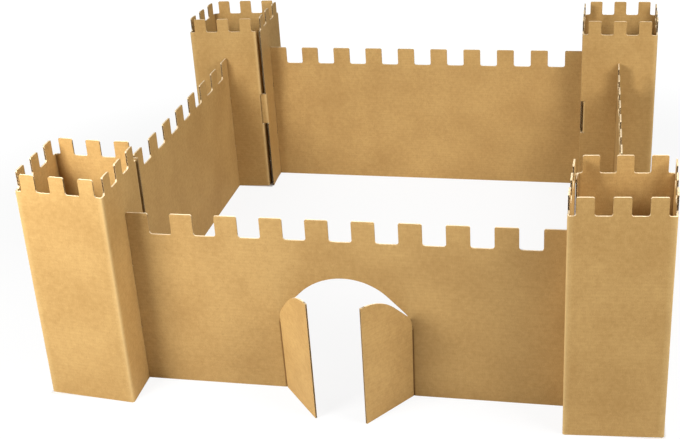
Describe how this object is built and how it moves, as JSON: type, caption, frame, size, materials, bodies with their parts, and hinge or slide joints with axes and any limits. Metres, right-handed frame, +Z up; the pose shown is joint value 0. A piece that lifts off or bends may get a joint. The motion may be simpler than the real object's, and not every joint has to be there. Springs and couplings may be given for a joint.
{
  "type": "cardboard castle",
  "caption": "Play castle of corrugated cardboard: square battlemented towers joined by hooked battlemented walls, with an arched double gate folded out of the front wall.",
  "frame": {"origin": "on the floor, below the middle of the castle's outer box", "axes": "+Z up, the gate faces -Y and opens that way, +X is to the right as seen from in front of the gate"},
  "size_m": [1.1264, 1.1476, 0.447],
  "materials": {
    "tower_board": "matt kraft",
    "wall_board": "matt kraft"
  },
  "bodies": {
    "root": {"tower_front_left": "tower_board", "tower_front_right": "tower_board", "tower_back_left": "tower_board", "tower_back_right": "tower_board", "front_wall": "wall_board", "back_wall": "wall_board", "left_wall": "wall_board", "right_wall": "wall_board"}
  },
  "joints": []
}
